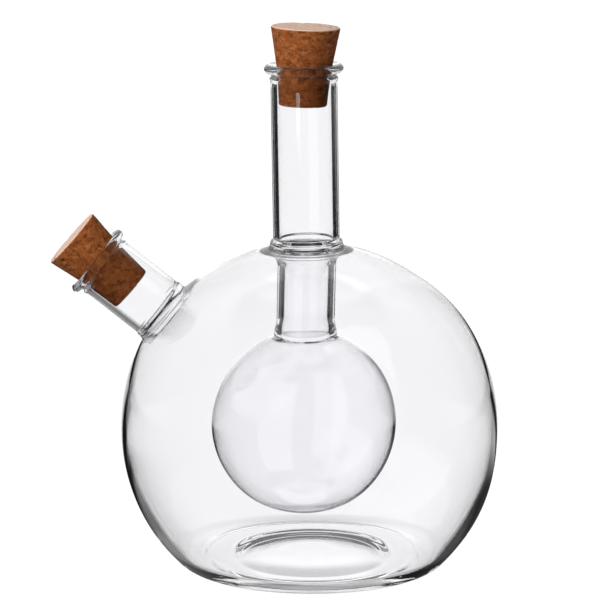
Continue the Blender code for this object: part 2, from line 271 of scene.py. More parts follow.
def seal_levels(size):
    ball = globe_radius()
    rim = size.neck_radius + size.seal_flare
    shoulder = height_on(ball, size.neck_radius) + size.seal_shoulder - size.crown_drop
    return rim, shoulder, height_on(ball, rim) - size.crown_drop


def inner_ball(size):
    """The globe's inside: a slightly smaller ball whose centre is a little higher."""
    return globe_radius() - size.globe_wall, size.wall_drop


def inner_height(size, distance):
    """The height of the globe's inside near the neck."""
    radius, rise = inner_ball(size)
    return rise + height_on(radius, distance) - size.crown_drop


def neck_outline(size):
    """Outside of the seal and neck, the lip, the bore and the inside of the bulb."""
    rim, shoulder, outer = seal_levels(size)
    collar_foot, collar_top, tube_foot, tube_start = (
        shoulder + over for over in (0.0002, 0.0014, 0.0018, 0.0024)
    )
    tube, bore = size.neck_radius, size.neck_radius - size.neck_wall
    stem_bore = size.stem_radius - size.stem_wall
    tube_end = size.neck_top - LIP_REACH
    skirt = [(rim + s, height_on(globe_radius(), rim + s) - size.crown_drop) for s in SKIRT]
    bead = tube + size.seal_bulge
    flare = flared((bead, shoulder), (rim, outer), globe_radius(), 14)
    collar = upright((bead, collar_foot), (tube, collar_top), 10)
    outside = [*skirt, *reversed(flare), *collar, (tube, tube_foot)]
    outside += straight((tube, tube_start), (tube, tube_end), 7)
    lip = lip_outline(size, tube, size.neck_wall, size.neck_top)
    top = shoulder - size.bore_drop
    foot = inner_height(size, rim) - size.seal_drop
    over_step = 0.0015
    down = [*reversed(lip), *straight((bore, tube_end), (bore, top + over_step), 9)]
    step = upright((bore, top), (stem_bore, foot), 14)
    bulb = into_bulb(size, stem_bore, size.bulb_radius - size.bulb_wall, foot, size.stem_bore_fillet)
    return [*outside, *down, *step, *bulb]


def flask_outline(size):
    """Under side of the seal, outside of the stem and of the bulb."""
    rim = seal_levels(size)[0]
    inner = inner_height(size, rim)
    foot = inner - size.seal_drop
    skirt = [(rim + s, inner_height(size, rim + s)) for s in SKIRT]
    under = flared((size.stem_radius, foot), (rim, inner), inner_ball(size)[0], 14)
    bulb = into_bulb(size, size.stem_radius, size.bulb_radius, foot, size.stem_fillet)
    return [*skirt, *reversed(under), *bulb]


def spout_outline(size):
    """Weld, outside, lip, bore and the rounded edge of the hole inside the globe."""
    ball = globe_radius()
    tube, bore = size.spout_radius, size.spout_radius - size.spout_wall
    rim, bead = tube + size.weld_flare, tube + size.weld_swell
    shoulder = height_on(ball, tube) + size.weld_shoulder
    collar_foot, collar_top, tube_foot, tube_start = (
        shoulder + over for over in (0.0002, 0.0014, 0.0020, 0.0025)
    )
    tube_end = size.spout_top - LIP_REACH
    skirt = [(rim + s, height_on(ball, rim + s)) for s in SKIRT]
    flare = flared((bead, shoulder), (rim, height_on(ball, rim)), ball, 12)
    collar = upright((tube, collar_top), (bead, collar_foot), 8)
    outside = [(tube, tube_foot), *straight((tube, tube_start), (tube, tube_end), 4)]
    lip = lip_outline(size, tube, size.spout_wall, size.spout_top)
    edge = size.weld_bead
    middle = (bore + edge, spout_inner_height(size, bore + edge) + edge - size.weld_bulge)
    rounded = arc(middle, edge, 180.0, 285.0, 15.0)
    over_edge = 0.001
    inside = straight((bore, tube_end), (bore, middle[1] + over_edge), 5)
    end, last = ((rim + s, spout_inner_height(size, rim + s)) for s in SKIRT)
    back = across(rounded[-1], last, 7)
    outer = [*skirt, *reversed(flare), *reversed(collar), *outside]
    return [*outer, *reversed(lip), *inside, *rounded, *back[1:], end]


def spout_inner_height(size, distance):
    """The globe's inside along the spout's axis, whose centre lies off that axis a little."""
    radius, rise = inner_ball(size)
    return rise * math.sin(size.spout_elevation) + height_on(radius, distance)


def globe_outline(size, radius, rise, floor, fillet, push_up, top):
    """One side of the globe's wall, from below the seal to the middle of the push-up, with
    heights from the globe's centre."""
    level = floor - size.globe_height
    below = level + fillet - rise
    centre = (height_on(radius + size.belly - fillet, below), level + fillet)
    tangent = bearing((0.0, rise), centre)
    side = []
    for r, z in arc((0.0, 0.0), 1.0, top, tangent, RING_STEP):
        reach = radius + size.belly * eased(math.degrees(math.asin(-z)), *BELLY)
        side.append((reach * r, rise + reach * z))
    heel = arc(centre, fillet, tangent, -90.0, 9.0)
    return [*side, *heel[1:], *push_up_outline(centre[0], level, **push_up)]


def push_up_outline(start, level, edge, high, power, ring):
    """A level ring that stands proud by the height of its inner edge, and inside it a shallow
    dome, steepest at its rounded edge."""
    rings, rounding = 56, 0.00025
    points = []
    for i in range(1, rings + 1):
        r = start * (1.0 - i / rings)
        rise = high * (1.0 - (r / edge) ** power)
        rise = (rise + math.hypot(rise, rounding)) / 2
        rise += ring * eased(RING_EDGE[0] - r, 0.0, RING_EDGE[0] - RING_EDGE[1])
        points.append((r, level + rise))
    return points


def settle(wall, size, thicker=0.0):
    """Sinks the crown of the globe's wall and turns it with the neck, swells its far side
    below and lets its base sway, all round the globe's centre. An inside is drawn in low
    down, most on the far side."""
    far_share = 0.2
    ball = globe_radius()
    points = mesh_points(wall)
    above = points[:, 2] / ball
    depth = np.clip(-points[:, 2] / size.globe_height, 0.0, 1.0)
    far = np.clip(points[:, 0] / ball, 0.0, 1.0)
    points[:, 0] += size.sway * depth**2 + size.lean_belly * far * np.sin(np.pi * depth) ** 2
    points[:, 2] -= size.crown_drop * eased(above, *SUNK)
    turned = -size.neck_lean * eased(above, *TURNED)
    x, z = points[:, 0].copy(), points[:, 2].copy()
    points[:, 0] = x * np.cos(turned) + z * np.sin(turned)
    points[:, 2] = z * np.cos(turned) - x * np.sin(turned)
    share = 1.0 - far_share + far_share * points[:, 0] / ball
    drawn = thicker * eased(-above, *DRAWN_IN) * share / ball
    points[:, :2] *= 1.0 - drawn[:, None]
    put_points(wall, points)


def only(*chosen):
    """Selects nothing but these objects and makes the first the active one."""
    bpy.ops.object.select_all(action="DESELECT")
    for thing in chosen:
        thing.select_set(True)
    bpy.context.view_layer.objects.active = chosen[0]


def spun(name, outline, segments):
    """Draws an outline and spins it once round the Z axis."""
    mesh = bpy.data.meshes.new(name)
    edges = [(i, i + 1) for i in range(len(outline) - 1)]
    mesh.from_pydata([(r, 0.0, z) for r, z in outline], edges, [])
    thing = bpy.data.objects.new(name, mesh)
    bpy.context.scene.collection.objects.link(thing)
    only(thing)
    bpy.ops.object.mode_set(mode="EDIT")
    bpy.ops.mesh.select_all(action="SELECT")
    bpy.ops.mesh.spin(steps=segments, angle=math.tau, center=(0.0, 0.0, 0.0), axis=(0.0, 0.0, 1.0))
    bpy.ops.mesh.select_all(action="SELECT")
    bpy.ops.mesh.remove_doubles(threshold=SAME_POINT)
    bpy.ops.object.mode_set(mode="OBJECT")
    return thing


def set_down(thing, matrix):
    """Puts a piece in place and applies the place to its mesh."""
    thing.matrix_world = matrix
    only(thing)
    bpy.ops.object.transform_apply(location=True, rotation=True, scale=True)


def point_outwards(thing):
    """Selects a closed piece and turns its faces outwards."""
    only(thing)
    bpy.ops.object.mode_set(mode="EDIT")
    bpy.ops.mesh.select_all(action="SELECT")
    bpy.ops.mesh.normals_make_consistent(inside=False)
    bpy.ops.object.mode_set(mode="OBJECT")


def mesh_points(thing):
    points = np.empty(len(thing.data.vertices) * 3)
    thing.data.vertices.foreach_get("co", points)
    return points.reshape(-1, 3)


def put_points(thing, points):
    thing.data.vertices.foreach_set("co", points.ravel())
    thing.data.update()


def open_edges(mesh):
    """The edges round a mesh's holes, as loops of vertex numbers."""
    used = np.zeros(len(mesh.edges), dtype=int)
    for polygon in mesh.polygons:
        for loop in polygon.loop_indices:
            used[mesh.loops[loop].edge_index] += 1
    neighbours = {}
    for edge in mesh.edges:
        if used[edge.index] == 1:
            a, b = edge.vertices
            neighbours.setdefault(a, []).append(b)
            neighbours.setdefault(b, []).append(a)
    loops = []
    while neighbours:
        start = next(iter(neighbours))
        loop, here, last = [start], start, None
        while True:
            onward = [n for n in neighbours[here] if n != last]
            last, here = here, onward[0]
            if here == start:
                break
            loop.append(here)
        for vertex in loop:
            del neighbours[vertex]
        loops.append(loop)
    return loops


def bridge(thing, first, second):
    """Joins two open loops of one mesh with a band of faces."""
    only(thing)
    bpy.ops.object.mode_set(mode="EDIT")
    bpy.ops.mesh.select_mode(type="EDGE")
    bpy.ops.mesh.select_all(action="DESELECT")
    body = bmesh.from_edit_mesh(thing.data)
    body.verts.ensure_lookup_table()
    for loop in (first, second):
        for a, b in zip(loop, loop[1:] + loop[:1]):
            edge = body.edges.get((body.verts[a], body.verts[b]))
            edge.select_set(True)
    bmesh.update_edit_mesh(thing.data)
    bpy.ops.mesh.bridge_edge_loops()
    bpy.ops.object.mode_set(mode="OBJECT")


def angle_from(points, centre, axis):
    """The angle of each point off an axis through the centre."""
    rays = points - np.array(centre)
    rays /= np.maximum(np.linalg.norm(rays, axis=1, keepdims=True), SAME_POINT)
    return np.arccos(np.clip(rays @ np.array(axis), -1.0, 1.0))


def even_circle(count, start, sense):
    return [start + sense * math.tau * i / count for i in range(count)]


def open_spout_hole(wall, centre, axis, hole_angle):
    """Cuts the spout's hole in one side of the globe's wall and draws its stepped edge into
    an even circle on the same ball."""
    points = mesh_points(wall)
    radius = np.linalg.norm(points[0] - np.array(centre))
    angle = angle_from(points, centre, axis)
    inside = angle < hole_angle
    only(wall)
    for vertex in wall.data.vertices:
        vertex.select = False
    for edge in wall.data.edges:
        edge.select = False
    for polygon in wall.data.polygons:
        polygon.select = bool(inside[list(polygon.vertices)].any())
    bpy.ops.object.mode_set(mode="EDIT")
    bpy.ops.mesh.select_mode(type="FACE")
    bpy.ops.mesh.delete(type="FACE")
    bpy.ops.object.mode_set(mode="OBJECT")
    points = mesh_points(wall)
    angle = angle_from(points, centre, axis)
    loops = open_edges(wall.data)
    loop = min(loops, key=lambda ring: angle[ring].mean())
    side = Vector(axis).orthogonal().normalized()
    other = Vector(axis).cross(side)
    rays = points[loop] - np.array(centre)
    bearings = np.unwrap(np.arctan2(rays @ np.array(other), rays @ np.array(side)))
    sense = 1.0 if bearings[-1] > bearings[0] else -1.0
    shift = np.mean(bearings - sense * math.tau * np.arange(len(loop)) / len(loop))
    circle = even_circle(len(loop), shift, sense)
    for vertex, turned in zip(loop, circle):
        ray = math.cos(hole_angle) * Vector(axis)
        ray += math.sin(hole_angle) * (math.cos(turned) * side + math.sin(turned) * other)
        points[vertex] = np.array(centre) + radius * np.array(ray)
    put_points(wall, points)
    ease_round_hole(wall, loop, centre, radius, angle, hole_angle)


def ease_round_hole(wall, loop, centre, radius, angle, hole_angle):
    """Evens out the mesh round the hole, and keeps every point on the ball."""
    reach, rounds = 1.6, 12
    near = {i for i in range(len(angle)) if angle[i] < hole_angle * reach} - set(loop)
    linked = {i: [] for i in near}
    for edge in wall.data.edges:
        a, b = edge.vertices
        if a in near:
            linked[a].append(b)
        if b in near:
            linked[b].append(a)
    points = mesh_points(wall)
    middle = np.array(centre)
    for _ in range(rounds):
        moved = points.copy()
        for i in near:
            ray = points[linked[i]].mean(axis=0) - middle
            moved[i] = middle + ray * radius / np.linalg.norm(ray)
        points = moved
    put_points(wall, points)


class CRUET_OT_glass(bpy.types.Operator):
    """Blow the glass: globe, neck, inner flask and spout, fused into one vessel"""

    bl_idname = "cruet.glass"
    bl_label = "Glass vessel"

    def execute(self, context):
        size = context.scene.cruet_glass
        centre = globe_centre()
        place = Matrix.Translation(centre)
        spout_turn = Matrix.Rotation(size.spout_elevation - math.pi / 2, 4, "Y")
        walls = blow_globe(size, place, spout_turn @ Vector((0.0, 0.0, 1.0)))
        tubes = draw_tubes(size, place, spout_turn)
        glass = fuse_glass([*walls, *tubes], centre)
        glass.data.materials.clear()
        glass.data.materials.append(clear_glass(size))
        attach(glass, "bottle")
        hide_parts(*GLASS_NODES)
        return {"FINISHED"}


def blow_globe(size, place, spout_axis):
    """The outside and the inside of the globe's wall, open at the neck and at the spout."""
    ball = globe_radius()
    inner_radius, rise = inner_ball(size)
    rim = size.neck_radius + size.seal_flare
    top = 90.0 - math.degrees(math.asin(rim / ball)) - RING_STEP
    hole = math.asin((size.spout_radius + size.weld_flare) / ball) + math.radians(HOLE_MARGIN)
    push_up = {"edge": size.punt_radius, "high": size.punt_rise, "power": 4, "ring": size.ring_proud}
    outside = globe_outline(size, ball, 0.0, 0.0, size.heel, push_up, top)
    push_up = {"edge": size.inner_radius, "high": size.inner_rise, "power": 16, "ring": 0.0}
    inside = globe_outline(size, inner_radius, rise, size.floor, size.inner_heel, push_up, top)
    walls = []
    for name, outline, raised, thicker in (
        ("outside", outside, 0.0, 0.0),
        ("inside", inside, rise, size.low_wall),
    ):
        wall = spun(name, outline, size.segments)
        open_spout_hole(wall, Vector((0.0, 0.0, raised)), spout_axis, hole)
        settle(wall, size, thicker)
        set_down(wall, place)
        walls.append(wall)
    return walls


def draw_tubes(size, place, spout_turn):
    """The neck with the seal and the bulb's inside, the flask's outside, and the spout."""
    leaning = place @ Matrix.Rotation(-size.neck_lean, 4, "Y")
    neck = spun("neck", neck_outline(size), size.segments)
    hang_bulb(neck, size, size.bulb_uneven)
    set_down(neck, leaning)
    flask = spun("flask", flask_outline(size), size.segments)
    hang_bulb(flask, size)
    set_down(flask, leaning)
    spout = spun("spout", spout_outline(size), size.tube_segments)
    set_down(spout, spout_turn)
    settle_weld(spout, size)
    set_down(spout, place)
    return neck, flask, spout


def settle_weld(spout, size):
    """Lets the weld's rim follow the sunken crown, less and less along the spout."""
    ball = globe_radius()
    points = mesh_points(spout)
    reach = np.linalg.norm(points, axis=1)
    follows = 1.0 - eased(reach, ball, ball + size.weld_shoulder)
    points[:, 2] -= size.crown_drop * follows * eased(points[:, 2] / ball, *SUNK)
    put_points(spout, points)


def hang_bulb(thing, size, uneven=0.0):
    """Leans the stem towards the spout, evenly from the seal's foot to the bulb's middle, and
    lets the bulb hang straight below that, an uneven one a little further over."""
    softness = 0.02
    foot = inner_height(size, size.neck_radius + size.seal_flare) - size.seal_drop
    points = mesh_points(thing)
    share = np.maximum((foot - points[:, 2]) / (foot - size.bulb_raise), 0.0)
    share = (share + 1.0 - np.sqrt((share - 1.0) ** 2 + softness)) / 2.0
    points[:, 0] -= (size.bulb_offset + uneven) * np.maximum(share, 0.0)
    put_points(thing, points)


def fuse_glass(shells, centre):
    """Joins the open shells into one closed vessel."""
    glass = shells[0]
    only(*shells)
    bpy.ops.object.join()
    glass.name = "glass_vessel"
    glass.data.name = "glass_vessel"
    loops = open_edges(glass.data)
    if len(loops) != OPEN_EDGES:
        raise RuntimeError(f"the glass has {len(loops)} open edges and needs {OPEN_EDGES}")
    for first, second in paired(mesh_points(glass), loops, centre):
        bridge(glass, first, second)
    point_outwards(glass)
    bpy.ops.object.shade_smooth()
    if open_edges(glass.data):
        raise RuntimeError("the glass isn't closed")
    return glass


def paired(points, loops, centre):
    """Pairs each open edge with the one that lies round the same axis at the same wall."""
    marks = []
    for loop in loops:
        rays = points[loop] - np.array(centre)
        middle = rays.mean(axis=0)
        marks.append((middle / np.linalg.norm(middle), np.linalg.norm(rays, axis=1).mean(), loop))
    pairs = []
    while marks:
        mark = marks.pop()
        best = min(marks, key=lambda other: apart(mark, other))
        marks = [other for other in marks if other is not best]
        pairs.append((mark[2], best[2]))
    return pairs


def apart(first, second):
    """How far apart two open edges lie, by their axes and by their reach from the centre,
    where a millimetre of reach counts as a hundredth of a radian."""
    return np.linalg.norm(first[0] - second[0]) + abs(first[1] - second[1]) * 10.0


class Value:
    """A shader socket that sums can be written with."""

    def __init__(self, graph, socket):
        self.graph = graph
        self.socket = socket

    def maths(self, operation, *others):
        return self.graph.maths(operation, self, *others)

    def __add__(self, other):
        return self.maths("ADD", other)

    def __radd__(self, other):
        return self.graph.maths("ADD", other, self)

    def __sub__(self, other):
        return self.maths("SUBTRACT", other)

    def __rsub__(self, other):
        return self.graph.maths("SUBTRACT", other, self)

    def __mul__(self, other):
        return self.maths("MULTIPLY", other)

    def __rmul__(self, other):
        return self.graph.maths("MULTIPLY", other, self)

    def __pow__(self, other):
        return self.maths("POWER", other)

    def abs(self):
        return self.maths("ABSOLUTE")

    def above(self, edge):
        return self.maths("GREATER_THAN", edge)

    def rise(self, start, end):
        """0 below start and 1 above end, with a soft step between."""
        return self.graph.node(
            "ShaderNodeMapRange",
            {"interpolation_type": "SMOOTHSTEP"},
            {"Value": self, "From Min": start, "From Max": end},
        )["Result"]


class Outputs:
    """The outputs of one node, by name or number."""

    def __init__(self, graph, node):
        self.graph = graph
        self.node = node

    def __getitem__(self, key):
        return Value(self.graph, self.node.outputs[key])


class Graph:
    """The nodes of one material or world."""

    def __init__(self, owner):
        owner.use_nodes = True
        self.tree = owner.node_tree
        self.tree.nodes.clear()

    def feed(self, socket, value):
        if isinstance(value, Value):
            self.tree.links.new(value.socket, socket)
        elif hasattr(value, "__len__") and len(value) == 3 and socket.type == "RGBA":
            socket.default_value = (*value, 1.0)
        else:
            socket.default_value = value

    def node(self, kind, settings=None, values=None):
        """Adds a node, then its settings, then the values or links of its sockets."""
        node = self.tree.nodes.new(kind)
        for name, value in (settings or {}).items():
            if name == "stops":
                self.stops(node.color_ramp, value)
            else:
                setattr(node, name, value)
        for key, value in (values or {}).items():
            self.feed(node.inputs[key], value)
        return Outputs(self, node)

    @staticmethod
    def stops(ramp, stops):
        while len(ramp.elements) > len(stops):
            ramp.elements.remove(ramp.elements[-1])
        while len(ramp.elements) < len(stops):
            ramp.elements.new(1.0)
        for element, (position, tone) in zip(ramp.elements, stops):
            element.position = position
            element.color = (*tone, 1.0)

    def maths(self, operation, *values):
        settings = {"operation": operation}
        return self.node("ShaderNodeMath", settings, dict(enumerate(values)))[0]

    def mix(self, share, first, second, blend="MIX"):
        """Mixes two colours."""
        settings = {"data_type": "RGBA", "blend_type": blend, "clamp_factor": True}
        return self.node("ShaderNodeMix", settings, {0: share, 6: first, 7: second})[2]

    def dot(self, vector, direction):
        settings = {"operation": "DOT_PRODUCT"}
        return self.node("ShaderNodeVectorMath", settings, {0: vector, 1: tuple(direction)})["Value"]

    def ramp(self, value, stops):
        return self.node("ShaderNodeValToRGB", {"stops": stops}, {"Fac": value})["Color"]

    def noise(self, vector, scale, detail=2.0, roughness=0.5):
        values = {"Vector": vector, "Scale": scale, "Detail": detail, "Roughness": roughness}
        return self.node("ShaderNodeTexNoise", {"noise_dimensions": "3D"}, values)

    def cells(self, vector, scale):
        settings = {"feature": "F1", "voronoi_dimensions": "3D"}
        return self.node("ShaderNodeTexVoronoi", settings, {"Vector": vector, "Scale": scale})

    def place(self, scale=(1.0, 1.0, 1.0)):
        """Object coordinates, stretched."""
        values = {"Vector": self.node("ShaderNodeTexCoord")["Object"], "Scale": scale}
        return self.node("ShaderNodeMapping", None, values)["Vector"]

    def bump(self, height, strength, distance):
        values = {"Height": height, "Strength": strength, "Distance": distance}
        return self.node("ShaderNodeBump", None, values)["Normal"]


def new_material(name):
    return bpy.data.materials.new(name)


def clear_glass(size):
    """Fire-polished glass: clear, with the slow ripple of hand work and a faint film."""
    material = new_material("clear_glass")
    graph = Graph(material)
    place = graph.place()
    ripple = graph.noise(place, scale=38.0, detail=1.0)["Fac"]
    film = graph.noise(place, scale=90.0, detail=3.0)["Fac"].rise(0.55, 0.85)
    shader = graph.node(
        "ShaderNodeBsdfPrincipled",
        None,
        {
            "Base Color": tuple(size.tint),
            "Roughness": film * 0.005,
            "IOR": size.ior,
            "Transmission Weight": 1.0,
            "Normal": graph.bump(ripple, strength=0.12, distance=0.001),
        },
    )
    graph.node("ShaderNodeOutputMaterial", None, {"Surface": shader["BSDF"]})
    return material


class CruetCork(bpy.types.PropertyGroup):
    """Looks of the pressed corks."""

    granule: length("Granule", "Usual width of a cork granule", 0.0018)
    pit_depth: length("Pit depth", "Depth of the pits between granules", 0.00035)
    pale: colour("Pale granules", "Colour of the palest granules", (0.42, 0.14, 0.038))
    middle: colour("Middle granules", "Colour of most granules", (0.29, 0.078, 0.018))
    dark: colour("Dark granules", "Colour of the darkest granules", (0.13, 0.036, 0.010))
    # Painted light: the ends are paler partly for the cut face and partly to stand in for the strong light
    # from above on the top.
    end: colour("Ends", "Colour of the sanded ends", (0.74, 0.55, 0.44))
    # Painted shade: the sunk pits and the gaps between granules are painted towards this near-black colour.
    pit_shade: colour("Pits", "Colour inside the pits", (0.035, 0.014, 0.008))


def cork_frame(node):
    """A cork's axis from the frame's joint, and its ends along it from the node's points."""
    joint = next(j for j in frame["joints"] if j["name"] == CORK_JOINTS[node])
    axis = Vector(joint["axis"]).normalized()
    points = mesh_points(frame["nodes"][node])
    along = points @ np.array(axis)
    same_level = SAME_POINT * 20
    ends = points[along > along.max() - same_level], points[along < along.min() + same_level]
    top, foot = (Vector((end.min(axis=0) + end.max(axis=0)) / 2) for end in ends)
    return top, foot, axis


def cork_outline(node, foot, axis):
    """Half of the cork's section, read off its solid: the radius and height of each rim."""
    least_radius, same_level = 0.004, 2e-5
    rays = mesh_points(frame["nodes"][node]) - np.array(foot)
    along = rays @ np.array(axis)
    reach = np.linalg.norm(rays - np.outer(along, np.array(axis)), axis=1)
    rims = sorted({round(float(a), 5) for a, r in zip(along, reach) if r > least_radius})
    return [(float(reach[np.abs(along - a) < same_level].max()), a) for a in rims]


class CRUET_OT_corks(bpy.types.Operator):
    """Press the corks: tapered, pitted between their granules, one for each mouth"""

    bl_idname = "cruet.corks"
    bl_label = "Corks"

    def execute(self, context):
        look = context.scene.cruet_cork
        material = pressed_cork(look)
        bodies = {"neck_cork": "neck_stopper", "spout_cork": "spout_stopper"}
        for seed, node in enumerate(CORK_JOINTS):
            cork = make_cork(node, look, seed)
            cork.data.materials.clear()
            cork.data.materials.append(material)
            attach(cork, bodies[node])
            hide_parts(node)
        return {"FINISHED"}


def cork_end(radius, level, rings):
    """Points from the middle of a flat end out to its last ring but one."""
    return [(radius * i / rings, level) for i in range(rings)]


def make_cork(node, look, seed):
    """One tapered cork, spun upright and then set into its mouth."""
    step, rings, segments = 0.00035, 22, 180
    top, foot, axis = cork_frame(node)
    rims = cork_outline(node, foot, axis)
    side = []
    for first, second in zip(rims, rims[1:]):
        count = max(1, round(math.dist(first, second) / step))
        side += straight(first, second, count)[:-1]
    side.append(rims[-1])
    lower, upper = cork_end(*side[0], rings), cork_end(*side[-1], rings)
    cork = spun(f"{node}_stopper", [*lower, *side, *reversed(upper)], segments)
    point_outwards(cork)
    weather_cork(cork, look, (top - foot).length, seed)
    bpy.ops.object.shade_smooth()
    upright_to_axis = Vector((0.0, 0.0, 1.0)).rotation_difference(axis).to_matrix().to_4x4()
    set_down(cork, Matrix.Translation(foot) @ upright_to_axis)
    return cork


# Deep pits: how many on a cork's side and on its top, and their least and greatest radius
# round the axis, height along it and depth, as a share of the pit depth.
SIDE_PITS, TOP_PITS = 70, 16
PIT_RADIUS = (0.0004, 0.0010)
PIT_HEIGHT = (0.00025, 0.00055)
PIT_SHARE = (0.4, 1.0)
# Granules are this much flatter along the axis. A gap is that wide, as a share of a granule.
FLATTENED = 1.5
GAP_WIDTH = 0.16


def deep_pits(points, size, draw):
    """How far each point lies in a deep pit, from 0 to 1."""
    holes = []
    reach = float(np.abs(points[:, 0]).max())
    for _ in range(SIDE_PITS):
        turned, up = draw.uniform(0, math.tau), draw.uniform(0, size)
        holes.append((reach * math.cos(turned), reach * math.sin(turned), up))
    for _ in range(TOP_PITS):
        turned, out = draw.uniform(0, math.tau), reach * math.sqrt(draw.uniform(0, 1))
        holes.append((out * math.cos(turned), out * math.sin(turned), size))
    pits = np.zeros(len(points))
    for hole in holes:
        wide, high = draw.uniform(*PIT_RADIUS), draw.uniform(*PIT_HEIGHT)
        deep = draw.uniform(*PIT_SHARE)
        off = points - np.array(hole)
        flat = np.hypot(off[:, 0], off[:, 1]) / wide
        pits = np.maximum(pits, deep * np.exp(-(flat**2) - (off[:, 2] / high) ** 2))
    return pits


def granule_gaps(points, granule, shift):
    """How far each point lies in a gap between granules, from 0 to 1, less in some patches."""
    patch_size, patch_contrast = 0.6, 3
    gaps = np.zeros(len(points))
    for i, point in enumerate(points):
        spot = Vector(point) / granule + shift
        spot.z *= FLATTENED
        near = noise.voronoi(spot)[0]
        patch = max(-1.0, min(1.0, noise.noise(spot * patch_size) * patch_contrast))
        gaps[i] = max(0.0, 1.0 - (near[1] - near[0]) / GAP_WIDTH) * (0.5 + 0.5 * patch)
    return gaps


def weather_cork(cork, look, size, seed):
    """Sinks the gaps between granules and a few deep pits, and never raises the surface."""
    # The last number is the share of the painted shade that the gaps between granules get.
    pit_sink, gap_sink, gap_shade = 1.6, 0.45, 0.55
    first_seed, spread = 7, 9
    draw = random.Random(first_seed + seed)
    shift = Vector([draw.uniform(0, spread) for _ in range(3)])
    mesh = cork.data
    normals = np.empty(len(mesh.vertices) * 3)
    mesh.vertices.foreach_get("normal", normals)
    normals = normals.reshape(-1, 3)
    points = mesh_points(cork)
    pits = deep_pits(points, size, draw)
    gaps = granule_gaps(points, look.granule, shift)
    sink = look.pit_depth * np.maximum(pits * pit_sink, gaps * gap_sink)
    put_points(cork, points - normals * sink[:, None])
    # The ends are marked for the material, which paints them pale, partly as painted light from above.
    ends = mesh.attributes.new("end", "FLOAT", "POINT")
    ends.data.foreach_set("value", np.abs(normals[:, 2]).round())
    # How deep each point lies in a pit or a gap, which the material paints dark as shade.
    pitted = mesh.attributes.new("pitted", "FLOAT", "POINT")
    pitted.data.foreach_set("value", np.clip(np.maximum(pits, gaps * gap_shade), 0, 1))


def pressed_cork(look):
    """Granules of many browns, with painted shade where they meet and nearly black painted shade in the
    sunk pits, and ends painted pale, partly for a paler cut face and partly as painted light from above.
    """
    material = new_material("pressed_cork")
    graph = Graph(material)
    pale, usual, dark = tuple(look.pale), tuple(look.middle), tuple(look.dark)
    place = graph.place((1.0, 1.0, FLATTENED))
    wander = graph.noise(place, scale=220.0)["Color"]
    warp = 0.0016
    granules = graph.cells(graph.mix(warp, place, wander, "ADD"), 1.0 / look.granule)
    tone = graph.node("ShaderNodeSeparateColor", None, {"Color": granules["Color"]})
    body = graph.ramp(tone["Red"], [(0.0, dark), (0.3, usual), (0.75, usual), (1.0, pale)])
    fine = graph.noise(place, scale=1500.0, detail=4.0, roughness=0.65)["Fac"]
    mottle = graph.noise(place, scale=420.0, detail=3.0)["Fac"]
    specks = graph.noise(place, scale=900.0)["Fac"]
    for where, share, shade in (
        (mottle.rise(0.35, 0.7), 0.55, pale),
        (fine.rise(0.48, 0.68), 0.6, dark),
        (specks.rise(0.6, 0.66), 0.75, dark),
        (1.0 - specks.rise(0.34, 0.4), 0.6, pale),
    ):
        body = graph.mix(where * share, body, shade)
    # Painted light: both ends get a pale colour, partly for the cut face and partly standing in for the
    # strong light from above on the top.
    end = graph.node("ShaderNodeAttribute", {"attribute_name": "end"})["Fac"]
    pale_and_lit_end = 0.8
    body = graph.mix(end * pale_and_lit_end, body, tuple(look.end))
    # Painted shade: the sunk pits and gaps are painted nearly black.
    pitted = graph.node("ShaderNodeAttribute", {"attribute_name": "pitted"})["Fac"]
    surface = graph.mix(pitted.rise(0.1, 0.75), body, tuple(look.pit_shade))
    height = fine * 0.4 + tone["Green"] * 0.6
    shader = graph.node(
        "ShaderNodeBsdfPrincipled",
        None,
        {
            "Base Color": surface,
            "Roughness": 0.72 + fine * 0.25,
            "IOR": 1.4,
            "Specular IOR Level": 0.2,
            "Normal": graph.bump(height, strength=0.5, distance=0.0002),
        },
    )
    graph.node("ShaderNodeOutputMaterial", None, {"Surface": shader["BSDF"]})
    return material


class CruetStudio(bpy.types.PropertyGroup):
    """The camera and the white studio."""

    distance: length("Distance", "Camera to the middle of the view", 1.145)
    pitch: turn("Pitch", "How far the camera looks down", 10.7)
    aside: length("Aside", "Middle of the view from the globe's axis, towards the spout", 0.00296)
    above: length("Above", "Middle of the view above the globe's centre", 0.0405)
    focal: FloatProperty(name="Focal length", description="Lens, in millimetres", default=216.8)
    glow: FloatProperty(name="Backdrop", description="Backdrop seen through glass", default=1.075)
    regain: FloatProperty(
        name="Regain", description="Light that each surface past the fourth mirrors back in", default=0.02
    )
    dark: FloatProperty(name="Dark", description="Studio off the panels, in reflections", default=0.015)
    left_light: FloatProperty(name="Left", description="Studio to the left, in reflections", default=0.95)
    right_light: FloatProperty(name="Right", description="Studio to the right, in reflections", default=0.8)
    backdrop_near: FloatProperty(
        name="Backdrop gain",
        description="Extra light of the backdrop that the near wall mirrors",
        default=0.05,
    )
    backdrop_lean: FloatProperty(
        name="Backdrop lean",
        description="Lean of the backdrop's right edge, outwards to its top",
        default=0.45,
    )
    table_near: length("Table from", "Where the mirrored table's light starts, from the bottle", 0.17)
    table_far: length("Table to", "Where the mirrored table's light ends", 0.56)
    horizon: turn("Table edge", "Where the white sweep ends below, seen through the glass", -24.0)
    floor_glow: FloatProperty(name="Floor glow", description="Floor seen straight on", default=1.1)
    bounce: FloatProperty(name="Bounce", description="Floor's light on matt surfaces", default=0.12)
    shadow: FloatProperty(name="Shadow", description="Share of shadow that the floor keeps", default=0.12)
    dome: FloatProperty(name="Dome", description="Soft light on matt surfaces", default=0.025)
    key: FloatProperty(name="Key", description="Softbox light on matt surfaces", default=3.3)
    rim: FloatProperty(name="Rim", description="Light from behind on matt surfaces", default=0.7)


